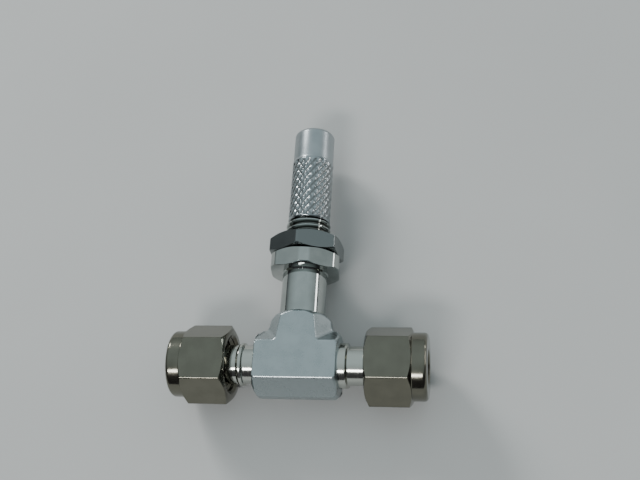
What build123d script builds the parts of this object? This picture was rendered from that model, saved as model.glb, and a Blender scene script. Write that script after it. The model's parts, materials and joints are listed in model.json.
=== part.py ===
from build123d import *
import math
import os

# Inline fine-metering needle valve with two tube connections, lying on its back.
# Every piece is drawn about the crossing of the tube axis (X) and the stem axis (Y), with the flat
# face of the body towards +Z.  place() then moves the whole valve so that it stands on z = 0.

# ---- driving dimensions, millimetres -------------------------------------------------------------

INCH = 25.4

# tube connections
TUBE_OD = INCH / 4
PORT_R = TUBE_OD / 2 + 0.075          # tube socket and ferrule bores
NUT_ACROSS_FLATS = INCH * 9 / 16
NUT_INNER_X = 14.05                   # end of the nut nearest the body
NUT_HEX_END_X = 23.33                 # where the hexagon gives way to the round collar
NUT_OUTER_X = 26.30
NUT_COLLAR_R = 6.81
NUT_COLLAR_ROUND = 0.8
NUT_HOLE_R = PORT_R + 0.05            # hole that the tube passes through
NUT_HOLE_CHAMFER = 0.3
NUT_CONE_END_X = 24.85                # inner cone that drives the back ferrule ends here
NUT_CONE_START_X = 23.25
FERRULE_ROOM_R = 4.9
FERRULE_ROOM_X = 22.2
NUT_MOUTH_CHAMFER = 0.5
INLET_NUT_TURN = 4.85                 # degrees that each nut stands away from flat, as it was left
OUTLET_NUT_TURN = -0.16
MALE_THREAD_R = 5.48
THREAD_CLEARANCE = 0.05
MALE_THREAD_START_X = 14.6
MALE_THREAD_END_X = 20.6
MALE_THREAD_CHAMFER = 0.5
SOCKET_STOP_X = 14.5                  # shoulder that stops the tube
SOCKET_END_X = 17.6
CONE_SMALL_R = 3.69
CONE_LARGE_R = 4.33
STUB_R = 3.97                         # necks between the body and the threads
STUB_RING_R = 4.45                    # raised ring on the inlet neck
STUB_RING_X = 11.0
STUB_RING_END_X = 12.15
SHOULDER_RING_R = 4.62                # ring beside the body on the outlet neck
SHOULDER_RING_END_X = 10.3
FERRULE_FLANGE_R = 4.6
FRONT_FERRULE_X = 18.0
FRONT_FERRULE_FLANGE_X = 20.75
FRONT_FERRULE_END_X = 21.5
FRONT_FERRULE_BACK_CONE = 0.5
BACK_FERRULE_X = 21.15
BACK_FERRULE_FLANGE_X = 22.4
BACK_FERRULE_FLANGE_END_X = 23.25
BACK_FERRULE_END_X = 24.6
BACK_FERRULE_NOSE_R = 3.95
FERRULE_GAP = 0.1

# body
BLOCK_HALF_LENGTH = 8.47
BLOCK_END_R = 6.2                     # the ends of the block are bevelled outside this
BLOCK_END_BEVEL = 1.1
WALL_Y = 6.8                          # straight wall of the block, at the parting plane
WALL_HALF_THICK = 1.2
WALL_LEAN = 2.95                      # how far the walls lean in, from there to the flats
FLAT_Z = 5.4                          # front and back flats
NECK_ROOT_X = 6.65                    # half width of the neck's walls beside the block
NECK_TIP_X = 6.15                     # and at the top
NECK_TOP_Y = 10.2
NECK_TOP_R = 5.3                      # the top of the neck is bevelled outside this
NECK_BLEND_R = 1.1
FLOW_BORE_R = 1.0
OUTLET_DRILL_R = 0.8
DRILL_OVERRUN = 0.3                   # how far one drilling runs into the next
ORIFICE_R = 0.5
SEAT_Y = 2.2
CHAMBER_R = 2.4
GASKET_SEAT_Y = 4.6
GASKET_TOP_Y = 5.2
BONNET_SOCKET_R = 3.97

# bonnet
BONNET_SHANK_R = 3.95
BONNET_BARREL_R = 4.72
BONNET_HEX_Y = 19.57
BONNET_HEX_TOP_Y = 23.36
BONNET_ACROSS_FLATS = INCH * 9 / 16
BONNET_CORNER_R = 7.76                # corners of the hexagon turned down to this
BONNET_HEX_TURN = 7.9
PANEL_THREAD_R = INCH * 3 / 16
PANEL_THREAD_PITCH = INCH / 20
PANEL_THREAD_DEPTH = 0.70
PANEL_THREAD_RELIEF = 0.6             # plain neck between the hexagon and the first thread
PANEL_THREAD_CREST = 0.16             # width of a crest, as a share of the pitch
BONNET_TOP_Y = 31.2
SEAL_BORE_R = 2.45
DRIVE_BORE_R = 3.3
DRIVE_BORE_Y = 15.5

# panel nut
PANEL_NUT_BOTTOM_Y = 23.45
PANEL_NUT_TOP_Y = 27.3
PANEL_NUT_ACROSS_FLATS = INCH * 9 / 16
PANEL_NUT_TURN = -5.0
PANEL_NUT_LEAD = 0.4                  # chamfer at both ends of its hole

# stem train
STEM_R = 2.4
STEM_BOTTOM_Y = 3.4
STEM_FULL_Y = 5.6
STEM_TOP_Y = 18.0
STEM_NOSE_R = 1.5
STEM_FLAT_HALF_WIDTH = 1.9
STEM_FLAT_START_Y = 9.9
STEM_GUIDE_THICK = 1.5
NEEDLE_R = 0.8
NEEDLE_TOP_Y = 8.0
NEEDLE_TIP_Y = 0.4
NEEDLE_TIP_R = 0.16
NEEDLE_SHOULDER_Y = 2.65
GROOVE_R = 1.42
GROOVE_BOTTOM_Y = 7.5
GROOVE_TOP_Y = 9.3
SEAL_OUTER_R = 2.42
O_RING_SECTION_R = 0.5
SPIGOT_R = 1.2
SPIGOT_GROOVE_R = 0.9
SPIGOT_TOP_Y = 19.85
SWIVEL_RING_Y = 18.9
SWIVEL_RING_THICK = 0.4
SWIVEL_RING_OUTER_R = 1.6
SWIVEL_RING_GAP = 0.5
BALL_R = 0.5
SPINDLE_R = 2.0
SPINDLE_BOTTOM_Y = 18.2
SPINDLE_SOCKET_R = 1.25
SPINDLE_SOCKET_END_Y = 20.9
SPINDLE_SHANK_R = 1.75
SPINDLE_TOP_Y = 50.3
SPINDLE_THREAD_TOP_Y = 32.5
DRIVE_NUT_BOTTOM_Y = 23.5
DRIVE_NUT_TOP_Y = 30.3
RETAINER_THICK = 0.4
RETAINER_OUTER_R = 3.6
RETAINER_INNER_R = 2.5
RETAINER_GAP = 1.2

# handle
HANDLE_BOTTOM_Y = 31.47
HANDLE_TOP_Y = 53.26
KNURL_TOP_Y = 45.85
KNURL_R = 4.54
HANDLE_CAP_R = 4.405
HANDLE_TOP_ROUND = 1.0
HANDLE_BORE_R = 2.8
HANDLE_HUB_Y = 43.5
SET_SCREW_Y = 48.2
SET_SCREW_R = 1.25
SET_SCREW_DEPTH = 0.3                 # how far the screw sits below the handle's surface
SET_SCREW_SOCKET_R = 0.75

# general
EDGE = 0.2                            # light edge break on turned parts
PICK_REACH = 0.01                     # how near an edge must be to its expected place
HEX_CHAMFER_ANGLE = 30.0              # chamfer on the corners of every hexagon, from its end face
FIT = 0.05                            # running clearance between pieces that turn or slide

# ---- placing -------------------------------------------------------------------------------------

NUT_CORNER_R = NUT_ACROSS_FLATS / math.sqrt(3)
PANEL_NUT_CORNER_R = PANEL_NUT_ACROSS_FLATS / math.sqrt(3)
# the panel nut's rearmost corner rests on the table
REST_HEIGHT = PANEL_NUT_CORNER_R * math.cos(math.radians(PANEL_NUT_TURN))
NUT_REACH = NUT_CORNER_R * math.cos(math.radians(OUTLET_NUT_TURN))
MID_LENGTH_Y = (HANDLE_TOP_Y - NUT_REACH) / 2


def place(shape):
    """Moves a piece from the crossing of the axes to the valve's own frame."""
    return Pos(0, -MID_LENGTH_Y, REST_HEIGHT) * shape


# ---- basic shapes --------------------------------------------------------------------------------


def turned_about_y(outline):
    """Solid of revolution about Y from (radius, y) points."""
    return revolve(make_face(Polyline(*outline, close=True)), Axis.Y)


def turned_about_x(outline, side):
    """Solid of revolution about X from (distance along the tube axis, radius) points."""
    points = [(side * x, r) for x, r in outline]
    return revolve(make_face(Polyline(*points, close=True)), Axis.X)


def ring_about_y(inner, outer, bottom, top):
    return turned_about_y([(inner, bottom), (outer, bottom), (outer, top), (inner, top)])


def rod_about_y(radius, bottom, top):
    return turned_about_y([(0, bottom), (radius, bottom), (radius, top), (0, top)])


def rod_about_x(radius, start, end, side=1):
    return turned_about_x([(start, 0), (start, radius), (end, radius), (end, 0)], side)


def hexagon_prism(across_flats, start, end):
    """Hexagonal bar along local Z with a corner on local X."""
    outline = RegularPolygon(across_flats / math.sqrt(3), 6)
    return Pos(0, 0, start) * extrude(outline, end - start)


def chamfer_cone(across_flats, corner_r, start, end):
    """Turned envelope along local Z that bevels a hexagon's corners at both of its ends."""
    face_r = across_flats / 2 - 0.1
    drop = (corner_r - face_r) * math.tan(math.radians(HEX_CHAMFER_ANGLE))
    outline = [(0, start), (face_r, start), (corner_r, start + drop), (corner_r, end - drop),
               (face_r, end), (0, end)]
    profile = make_face(Polyline(*[(r, 0, z) for r, z in outline], close=True))
    return revolve(profile, Axis.Z)


def bevelled_hexagon(across_flats, corner_r, start, end):
    bar = hexagon_prism(across_flats, start, end)
    return bar & chamfer_cone(across_flats, corner_r, start, end)


def along_x(shape, side, turn):
    """Stands a shape made along local Z on the tube axis, pointing to one side, and turns it."""
    upright = Rot(0, side * 90, 0) * Rot(0, 0, 90) * shape
    return Rot(turn, 0, 0) * upright


def along_y(shape, turn):
    """Stands a shape made along local Z on the stem axis, a corner towards +Z, and turns it."""
    upright = Rot(-90, 0, 0) * Rot(0, 0, -90) * shape
    return Rot(0, turn, 0) * upright


# ---- valve body ----------------------------------------------------------------------------------


def forged_section(half_width):
    """Section through an arm of the forging: straight at its sides, leaning in to the two flats."""
    flat = half_width - WALL_LEAN
    quarter = [(flat, FLAT_Z), (half_width, WALL_HALF_THICK)]
    right = quarter + [(x, -z) for x, z in reversed(quarter)]
    left = [(-x, -z) for x, z in right]
    return make_face(Polyline(*right, *left, close=True))


def forging():
    """Tee-shaped forging, of a straight block and a neck that narrows towards its top."""
    height = 2 * NECK_TOP_Y
    lean = (NECK_ROOT_X - NECK_TIP_X) / (NECK_TOP_Y - WALL_Y)
    middle_x = NECK_ROOT_X + lean * WALL_Y
    tip_x = NECK_ROOT_X - lean * (height - WALL_Y)
    across = Plane(origin=(0, 0, 0), x_dir=(0, 1, 0), z_dir=(1, 0, 0))
    block = extrude(across * forged_section(WALL_Y), BLOCK_HALF_LENGTH, both=True)
    base = Plane(origin=(0, 0, 0), x_dir=(1, 0, 0), z_dir=(0, -1, 0))
    top = Plane(origin=(0, height, 0), x_dir=(1, 0, 0), z_dir=(0, -1, 0))
    neck = loft([base * forged_section(middle_x), top * forged_section(tip_x)], ruled=True)
    shape = block + neck
    return fillet([edge for edge in shape.edges() if is_valley(edge)], NECK_BLEND_R)


def is_valley(edge):
    """True for the edges where a wall of the neck meets a wall of the block."""
    middle = edge.position_at(0.5)
    rise = abs(edge.position_at(1).Z - edge.position_at(0).Z)
    beside_neck = abs(middle.X) < NECK_ROOT_X + PICK_REACH and 0 < middle.Y < WALL_Y + PICK_REACH
    return beside_neck and rise > WALL_HALF_THICK


def body_outside():
    """The forging, with the ends of the block and the top of the neck turned."""
    reach = 2 * NECK_TOP_Y
    end = BLOCK_HALF_LENGTH
    shoulder = BLOCK_HALF_LENGTH - BLOCK_END_BEVEL
    shoulder_r = BLOCK_END_R + BLOCK_END_BEVEL
    ends = turned_about_x([(-end, 0), (-end, BLOCK_END_R), (-shoulder, shoulder_r),
                           (-shoulder, reach), (shoulder, reach), (shoulder, shoulder_r),
                           (end, BLOCK_END_R), (end, 0)], 1)
    top = turned_about_y([(0, -reach), (reach, -reach), (reach, NECK_TOP_Y + NECK_TOP_R - reach),
                          (NECK_TOP_R, NECK_TOP_Y), (0, NECK_TOP_Y)])
    return forging() & ends & top


def threaded_end():
    """Outline of the thread that a tube nut turns on, from the neck out to the end."""
    small_r = MALE_THREAD_R - MALE_THREAD_CHAMFER
    rise = MALE_THREAD_R - STUB_R
    return [(MALE_THREAD_START_X, STUB_R), (MALE_THREAD_START_X + rise / 2, MALE_THREAD_R),
            (MALE_THREAD_END_X - MALE_THREAD_CHAMFER, MALE_THREAD_R), (MALE_THREAD_END_X, small_r),
            (MALE_THREAD_END_X, 0)]


def inlet_stub():
    """Neck with one raised ring, then the thread."""
    ring = [(STUB_RING_X, STUB_R), (STUB_RING_X + EDGE, STUB_RING_R),
            (STUB_RING_END_X - EDGE, STUB_RING_R), (STUB_RING_END_X, STUB_R)]
    return turned_about_x([(0, 0), (0, STUB_R)] + ring + threaded_end(), -1)


def outlet_stub():
    """Shoulder ring beside the body, a plain neck, then the thread."""
    ring = [(0, SHOULDER_RING_R), (SHOULDER_RING_END_X - EDGE, SHOULDER_RING_R),
            (SHOULDER_RING_END_X, SHOULDER_RING_R - EDGE), (SHOULDER_RING_END_X, STUB_R)]
    return turned_about_x([(0, 0)] + ring + threaded_end(), 1)


def tube_socket(side):
    """Bore that takes the tube, opening into the cone that the front ferrule seats in."""
    return turned_about_x([(SOCKET_STOP_X, 0), (SOCKET_STOP_X, PORT_R), (SOCKET_END_X, PORT_R),
                           (SOCKET_END_X, CONE_SMALL_R), (MALE_THREAD_END_X, CONE_LARGE_R),
                           (MALE_THREAD_END_X + 1, CONE_LARGE_R), (MALE_THREAD_END_X + 1, 0)], side)


def outlet_passage():
    """Sloping drilling from the outlet socket up into the chamber above the seat."""
    start = Vector(SOCKET_STOP_X + DRILL_OVERRUN, 0, 0)
    end = Vector(OUTLET_DRILL_R, (SEAT_Y + GASKET_SEAT_Y) / 2, 0)
    line = end - start
    plane = Plane(origin=start, z_dir=line.normalized())
    return plane * Cylinder(OUTLET_DRILL_R, line.length,
                            align=(Align.CENTER, Align.CENTER, Align.MIN))


def make_valve_body():
    shape = body_outside() + inlet_stub() + outlet_stub()
    shape -= tube_socket(-1)
    shape -= tube_socket(1)
    shape -= rod_about_x(FLOW_BORE_R, 0, SOCKET_STOP_X + DRILL_OVERRUN, -1)
    shape -= rod_about_y(ORIFICE_R, 0, SEAT_Y + DRILL_OVERRUN)
    shape -= rod_about_y(CHAMBER_R, SEAT_Y, GASKET_SEAT_Y + DRILL_OVERRUN)
    shape -= rod_about_y(BONNET_SOCKET_R, GASKET_SEAT_Y, NECK_TOP_Y + 1)
    shape -= outlet_passage()
    return shape


# ---- bonnet and what is fixed in it --------------------------------------------------------------


def panel_thread_profile():
    """Saw-tooth outline of the panel thread, one ridge to each pitch."""
    root_r = PANEL_THREAD_R - PANEL_THREAD_DEPTH
    flank = PANEL_THREAD_PITCH * (1 - PANEL_THREAD_CREST) / 2
    y = BONNET_HEX_TOP_Y + PANEL_THREAD_RELIEF
    points = [(root_r, y)]
    while y + PANEL_THREAD_PITCH < BONNET_TOP_Y - EDGE:
        points.append((PANEL_THREAD_R, y + flank))
        points.append((PANEL_THREAD_R, y + PANEL_THREAD_PITCH - flank))
        y += PANEL_THREAD_PITCH
        points.append((root_r, y))
    return points


def make_bonnet():
    root_r = PANEL_THREAD_R - PANEL_THREAD_DEPTH
    outside = turned_about_y([(SEAL_BORE_R, GASKET_TOP_Y), (BONNET_SHANK_R, GASKET_TOP_Y),
                              (BONNET_SHANK_R, NECK_TOP_Y), (BONNET_BARREL_R - EDGE, NECK_TOP_Y),
                              (BONNET_BARREL_R, NECK_TOP_Y + EDGE), (BONNET_BARREL_R, BONNET_HEX_Y),
                              (root_r, BONNET_HEX_Y)]
                             + panel_thread_profile()
                             + [(root_r, BONNET_TOP_Y - EDGE), (root_r - EDGE, BONNET_TOP_Y),
                                (DRIVE_BORE_R, BONNET_TOP_Y), (DRIVE_BORE_R, DRIVE_BORE_Y),
                                (SEAL_BORE_R, DRIVE_BORE_Y)])
    collar = along_y(bevelled_hexagon(BONNET_ACROSS_FLATS, BONNET_CORNER_R,
                                      BONNET_HEX_Y, BONNET_HEX_TOP_Y), BONNET_HEX_TURN)
    collar -= rod_about_y((DRIVE_BORE_R + root_r) / 2, 0, BONNET_TOP_Y)
    groove = ring_about_y(SPINDLE_R, RETAINER_OUTER_R + FIT,
                          DRIVE_NUT_TOP_Y, DRIVE_NUT_TOP_Y + RETAINER_THICK)
    return outside + collar - groove


def make_bonnet_gasket():
    return ring_about_y(CHAMBER_R + 0.15, BONNET_SHANK_R - 0.1, GASKET_SEAT_Y, GASKET_TOP_Y)


def make_stem_guide():
    """Ring whose double-D hole lets the stem rise without turning."""
    ring = rod_about_y(DRIVE_BORE_R, DRIVE_BORE_Y, DRIVE_BORE_Y + STEM_GUIDE_THICK)
    hole = rod_about_y(STEM_R + FIT, 0, STEM_TOP_Y)
    flats = Box(4 * STEM_R, 4 * STEM_TOP_Y, 2 * (STEM_FLAT_HALF_WIDTH + FIT))
    return ring - (hole & flats)


def make_drive_nut():
    """Bronze nut pressed into the bonnet, in which the spindle's fine thread runs."""
    return ring_about_y(SPINDLE_R + FIT, DRIVE_BORE_R, DRIVE_NUT_BOTTOM_Y, DRIVE_NUT_TOP_Y)


def make_retaining_ring():
    """Split ring in the bonnet's groove that keeps the drive nut in."""
    ring = ring_about_y(RETAINER_INNER_R, RETAINER_OUTER_R,
                        DRIVE_NUT_TOP_Y, DRIVE_NUT_TOP_Y + RETAINER_THICK)
    gap = Pos(0, DRIVE_NUT_TOP_Y, -RETAINER_OUTER_R)
    gap *= Box(RETAINER_GAP, 4 * RETAINER_THICK, 2 * RETAINER_OUTER_R)
    return ring - gap


def make_panel_nut():
    shape = along_y(bevelled_hexagon(PANEL_NUT_ACROSS_FLATS, PANEL_NUT_CORNER_R,
                                     PANEL_NUT_BOTTOM_Y, PANEL_NUT_TOP_Y), PANEL_NUT_TURN)
    bore_r = PANEL_THREAD_R + FIT
    mouth_r = bore_r + PANEL_NUT_LEAD
    bore = turned_about_y([(0, PANEL_NUT_BOTTOM_Y), (mouth_r, PANEL_NUT_BOTTOM_Y),
                           (bore_r, PANEL_NUT_BOTTOM_Y + PANEL_NUT_LEAD),
                           (bore_r, PANEL_NUT_TOP_Y - PANEL_NUT_LEAD), (mouth_r, PANEL_NUT_TOP_Y),
                           (0, PANEL_NUT_TOP_Y)])
    return shape - bore


# ---- stem train: rises without turning -----------------------------------------------------------


def make_needle():
    """Tapered metering point with the shank that is pressed into the stem."""
    return turned_about_y([(0, NEEDLE_TIP_Y), (NEEDLE_TIP_R, NEEDLE_TIP_Y),
                           (ORIFICE_R - FIT, SEAT_Y + FIT), (NEEDLE_R, NEEDLE_SHOULDER_Y),
                           (NEEDLE_R, NEEDLE_TOP_Y), (0, NEEDLE_TOP_Y)])


def make_stem():
    ring_bottom = SWIVEL_RING_Y - FIT
    ring_top = SWIVEL_RING_Y + SWIVEL_RING_THICK + FIT
    shape = turned_about_y([(NEEDLE_R, STEM_BOTTOM_Y), (STEM_NOSE_R - EDGE, STEM_BOTTOM_Y),
                            (STEM_NOSE_R, STEM_BOTTOM_Y + EDGE), (STEM_NOSE_R, STEM_FULL_Y),
                            (STEM_R - EDGE, STEM_FULL_Y), (STEM_R, STEM_FULL_Y + EDGE),
                            (STEM_R, GROOVE_BOTTOM_Y), (GROOVE_R, GROOVE_BOTTOM_Y),
                            (GROOVE_R, GROOVE_TOP_Y), (STEM_R, GROOVE_TOP_Y), (STEM_R, STEM_TOP_Y),
                            (SPIGOT_R, STEM_TOP_Y), (SPIGOT_R, ring_bottom),
                            (SPIGOT_GROOVE_R, ring_bottom), (SPIGOT_GROOVE_R, ring_top),
                            (SPIGOT_R, ring_top), (SPIGOT_R, SPIGOT_TOP_Y), (0, SPIGOT_TOP_Y),
                            (0, NEEDLE_TOP_Y), (NEEDLE_R, NEEDLE_TOP_Y)])
    length = STEM_TOP_Y - STEM_FLAT_START_Y
    for side in (-1, 1):
        waste = Pos(0, STEM_FLAT_START_Y + length / 2, side * (STEM_FLAT_HALF_WIDTH + 1))
        shape -= waste * Box(4 * STEM_R, length, 2)
    return shape


def make_stem_o_ring():
    centre_r = SEAL_OUTER_R - O_RING_SECTION_R
    section = Pos(centre_r, GROOVE_BOTTOM_Y + FIT + O_RING_SECTION_R) * Circle(O_RING_SECTION_R)
    return revolve(section, Axis.Y)


def make_backup_ring():
    bottom = GROOVE_BOTTOM_Y + 2 * FIT + 2 * O_RING_SECTION_R
    return ring_about_y(GROOVE_R, SEAL_OUTER_R, bottom, GROOVE_TOP_Y - FIT)


# ---- spindle and handle: turn and rise together --------------------------------------------------


def make_spindle():
    """Fine-threaded spindle with the socket that holds the stem's spigot and the thrust ball."""
    ring_bottom = SWIVEL_RING_Y
    ring_top = SWIVEL_RING_Y + SWIVEL_RING_THICK
    return turned_about_y([(SPINDLE_SOCKET_R, SPINDLE_BOTTOM_Y), (SPINDLE_R, SPINDLE_BOTTOM_Y),
                           (SPINDLE_R, SPINDLE_THREAD_TOP_Y), (SPINDLE_SHANK_R, SPINDLE_THREAD_TOP_Y),
                           (SPINDLE_SHANK_R, SPINDLE_TOP_Y - EDGE),
                           (SPINDLE_SHANK_R - EDGE, SPINDLE_TOP_Y), (0, SPINDLE_TOP_Y),
                           (0, SPINDLE_SOCKET_END_Y), (SPINDLE_SOCKET_R, SPINDLE_SOCKET_END_Y),
                           (SPINDLE_SOCKET_R, ring_top), (SWIVEL_RING_OUTER_R, ring_top),
                           (SWIVEL_RING_OUTER_R, ring_bottom), (SPINDLE_SOCKET_R, ring_bottom)])


def make_swivel_ring():
    """Split ring that holds the stem's spigot in the spindle's socket."""
    ring = ring_about_y(SPIGOT_GROOVE_R + FIT, SWIVEL_RING_OUTER_R,
                        SWIVEL_RING_Y, SWIVEL_RING_Y + SWIVEL_RING_THICK)
    gap = Pos(0, SWIVEL_RING_Y, -SWIVEL_RING_OUTER_R)
    gap *= Box(SWIVEL_RING_GAP, 4 * SWIVEL_RING_THICK, 2 * SWIVEL_RING_OUTER_R)
    return ring - gap


def make_thrust_ball():
    return Pos(0, SPINDLE_SOCKET_END_Y - BALL_R, 0) * Sphere(BALL_R)


def set_screw_axis():
    """Plane on the back of the handle, looking in towards the spindle."""
    return Plane(origin=(0, SET_SCREW_Y, -HANDLE_CAP_R), x_dir=(1, 0, 0), z_dir=(0, 0, 1))


def make_handle():
    outline = Polyline((HANDLE_BORE_R, HANDLE_BOTTOM_Y), (KNURL_R - EDGE, HANDLE_BOTTOM_Y),
                       (KNURL_R, HANDLE_BOTTOM_Y + EDGE), (KNURL_R, KNURL_TOP_Y - EDGE),
                       (HANDLE_CAP_R, KNURL_TOP_Y), (HANDLE_CAP_R, HANDLE_TOP_Y - HANDLE_TOP_ROUND))
    corner = RadiusArc((HANDLE_CAP_R, HANDLE_TOP_Y - HANDLE_TOP_ROUND),
                       (HANDLE_CAP_R - HANDLE_TOP_ROUND, HANDLE_TOP_Y), -HANDLE_TOP_ROUND)
    socket_end = SPINDLE_TOP_Y + EDGE
    inside = Polyline((HANDLE_CAP_R - HANDLE_TOP_ROUND, HANDLE_TOP_Y), (0, HANDLE_TOP_Y),
                      (0, socket_end), (SPINDLE_SHANK_R, socket_end),
                      (SPINDLE_SHANK_R, HANDLE_HUB_Y), (HANDLE_BORE_R, HANDLE_HUB_Y),
                      (HANDLE_BORE_R, HANDLE_BOTTOM_Y))
    shape = revolve(make_face(outline + corner + inside), Axis.Y)
    hole = set_screw_axis() * Cylinder(SET_SCREW_R, HANDLE_CAP_R,
                                       align=(Align.CENTER, Align.CENTER, Align.MIN))
    return shape - hole


def make_handle_set_screw():
    """Grub screw with a hexagon socket, driven in from the back of the handle."""
    length = HANDLE_CAP_R - SPINDLE_SHANK_R - SET_SCREW_DEPTH - FIT
    outer = Pos(0, 0, SET_SCREW_DEPTH)
    screw = outer * Cylinder(SET_SCREW_R, length, align=(Align.CENTER, Align.CENTER, Align.MIN))
    socket = outer * extrude(RegularPolygon(SET_SCREW_SOCKET_R, 6), length / 2)
    return set_screw_axis() * (screw - socket)


# ---- tube nuts and ferrules ----------------------------------------------------------------------


def make_tube_nut(side, turn):
    hexagon = bevelled_hexagon(NUT_ACROSS_FLATS, NUT_CORNER_R, NUT_INNER_X, NUT_HEX_END_X)
    shape = along_x(hexagon, side, turn)
    collar = rod_about_x(NUT_COLLAR_R, (NUT_INNER_X + NUT_HEX_END_X) / 2, NUT_OUTER_X, side)
    rim = collar.edges().filter_by(GeomType.CIRCLE).sort_by(Axis.X)[-1 if side > 0 else 0]
    shape += fillet(rim, NUT_COLLAR_ROUND)
    return shape - nut_hole(side)


def nut_hole(side):
    """Thread, room for the ferrules, the cone that drives them, and the hole for the tube."""
    thread_r = MALE_THREAD_R + THREAD_CLEARANCE
    mouth_r = thread_r + NUT_MOUTH_CHAMFER
    rim_r = NUT_HOLE_R + NUT_HOLE_CHAMFER
    return turned_about_x([(NUT_INNER_X, 0), (NUT_INNER_X, mouth_r),
                           (NUT_INNER_X + NUT_MOUTH_CHAMFER, thread_r), (FERRULE_ROOM_X, thread_r),
                           (FERRULE_ROOM_X, FERRULE_ROOM_R), (NUT_CONE_START_X, FERRULE_ROOM_R),
                           (NUT_CONE_END_X, NUT_HOLE_R), (NUT_OUTER_X - NUT_HOLE_CHAMFER, NUT_HOLE_R),
                           (NUT_OUTER_X, rim_r), (NUT_OUTER_X, 0)], side)


def make_front_ferrule(side):
    """Cone that wedges between the tube and the mouth of the body."""
    recess_r = FERRULE_FLANGE_R - FRONT_FERRULE_BACK_CONE
    return turned_about_x([(FRONT_FERRULE_X, PORT_R), (FRONT_FERRULE_X, CONE_SMALL_R - FERRULE_GAP),
                           (FRONT_FERRULE_FLANGE_X, CONE_LARGE_R - FERRULE_GAP),
                           (FRONT_FERRULE_FLANGE_X, FERRULE_FLANGE_R),
                           (FRONT_FERRULE_END_X, FERRULE_FLANGE_R), (FRONT_FERRULE_END_X, recess_r),
                           (FRONT_FERRULE_END_X - FRONT_FERRULE_BACK_CONE, PORT_R)], side)


def make_back_ferrule(side):
    """Ring that the nut drives under the front ferrule to grip the tube."""
    nose_end_x = FRONT_FERRULE_END_X + FIT
    return turned_about_x([(BACK_FERRULE_X, PORT_R), (nose_end_x, BACK_FERRULE_NOSE_R),
                           (BACK_FERRULE_FLANGE_X, BACK_FERRULE_NOSE_R + FERRULE_GAP),
                           (BACK_FERRULE_FLANGE_X, FERRULE_FLANGE_R),
                           (BACK_FERRULE_FLANGE_END_X, FERRULE_FLANGE_R),
                           (BACK_FERRULE_FLANGE_END_X + EDGE, FERRULE_FLANGE_R - EDGE),
                           (BACK_FERRULE_END_X, PORT_R + FIT), (BACK_FERRULE_END_X, PORT_R)], side)


# ---- the assembly --------------------------------------------------------------------------------


def make_pieces():
    pieces = {
        "valve_body": make_valve_body(),
        "bonnet": make_bonnet(),
        "bonnet_gasket": make_bonnet_gasket(),
        "stem_guide": make_stem_guide(),
        "drive_nut": make_drive_nut(),
        "retaining_ring": make_retaining_ring(),
        "panel_nut": make_panel_nut(),
        "needle": make_needle(),
        "stem": make_stem(),
        "stem_o_ring": make_stem_o_ring(),
        "backup_ring": make_backup_ring(),
        "spindle": make_spindle(),
        "swivel_ring": make_swivel_ring(),
        "thrust_ball": make_thrust_ball(),
        "handle": make_handle(),
        "handle_set_screw": make_handle_set_screw(),
    }
    for name, side, turn in (("inlet", -1, INLET_NUT_TURN), ("outlet", 1, OUTLET_NUT_TURN)):
        pieces[name + "_nut"] = make_tube_nut(side, turn)
        pieces[name + "_front_ferrule"] = make_front_ferrule(side)
        pieces[name + "_back_ferrule"] = make_back_ferrule(side)
    return pieces


os.makedirs("parts", exist_ok=True)
for name, shape in make_pieces().items():
    export_step(place(shape), f"parts/{name}.step")
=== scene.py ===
import json
import math

import bmesh
import bpy
from mathutils import Matrix, Vector

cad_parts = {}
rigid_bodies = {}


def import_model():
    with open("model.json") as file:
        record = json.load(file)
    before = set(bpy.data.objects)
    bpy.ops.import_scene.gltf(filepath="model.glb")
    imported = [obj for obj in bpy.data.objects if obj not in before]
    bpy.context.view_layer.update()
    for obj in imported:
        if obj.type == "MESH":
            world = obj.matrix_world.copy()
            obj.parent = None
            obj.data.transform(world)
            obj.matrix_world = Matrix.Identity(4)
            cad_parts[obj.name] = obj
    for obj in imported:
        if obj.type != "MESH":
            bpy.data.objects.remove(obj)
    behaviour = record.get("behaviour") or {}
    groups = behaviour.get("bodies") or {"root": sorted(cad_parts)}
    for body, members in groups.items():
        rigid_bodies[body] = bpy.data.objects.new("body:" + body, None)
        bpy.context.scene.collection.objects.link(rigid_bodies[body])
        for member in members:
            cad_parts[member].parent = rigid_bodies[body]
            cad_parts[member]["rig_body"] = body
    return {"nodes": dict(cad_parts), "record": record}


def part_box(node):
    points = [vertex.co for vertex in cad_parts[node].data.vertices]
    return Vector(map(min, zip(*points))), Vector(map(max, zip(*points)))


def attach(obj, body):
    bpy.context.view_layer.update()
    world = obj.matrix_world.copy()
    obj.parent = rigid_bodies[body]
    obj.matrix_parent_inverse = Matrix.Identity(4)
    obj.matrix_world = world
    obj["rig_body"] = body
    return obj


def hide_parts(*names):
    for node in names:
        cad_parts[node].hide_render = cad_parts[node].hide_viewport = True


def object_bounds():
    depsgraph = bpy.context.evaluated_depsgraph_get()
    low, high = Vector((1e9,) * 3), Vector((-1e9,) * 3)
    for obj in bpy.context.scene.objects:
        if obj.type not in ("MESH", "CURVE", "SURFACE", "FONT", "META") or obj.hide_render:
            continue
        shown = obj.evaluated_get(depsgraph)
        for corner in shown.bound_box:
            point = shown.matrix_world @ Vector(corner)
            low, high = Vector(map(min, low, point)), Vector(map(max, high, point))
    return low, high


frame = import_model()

# The needle valve as it looks: finishes for the CAD pieces, threads, knurl and soft edges in place of the
# plain CAD shapes, and a small studio around it.

CAD_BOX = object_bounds()
MM = 0.001

# ---- places and sizes taken from the frame, in metres ---------------------------------------------

NODES = frame["nodes"]


def middle(node):
    low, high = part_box(node)
    return (low + high) / 2


TUBE_AXIS = middle("inlet_back_ferrule")
STEM_AXIS = middle("thrust_ball")
CROSSING = Vector((STEM_AXIS.x, TUBE_AXIS.y, TUBE_AXIS.z))
FLOOR_Z = CAD_BOX[0][2]

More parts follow.
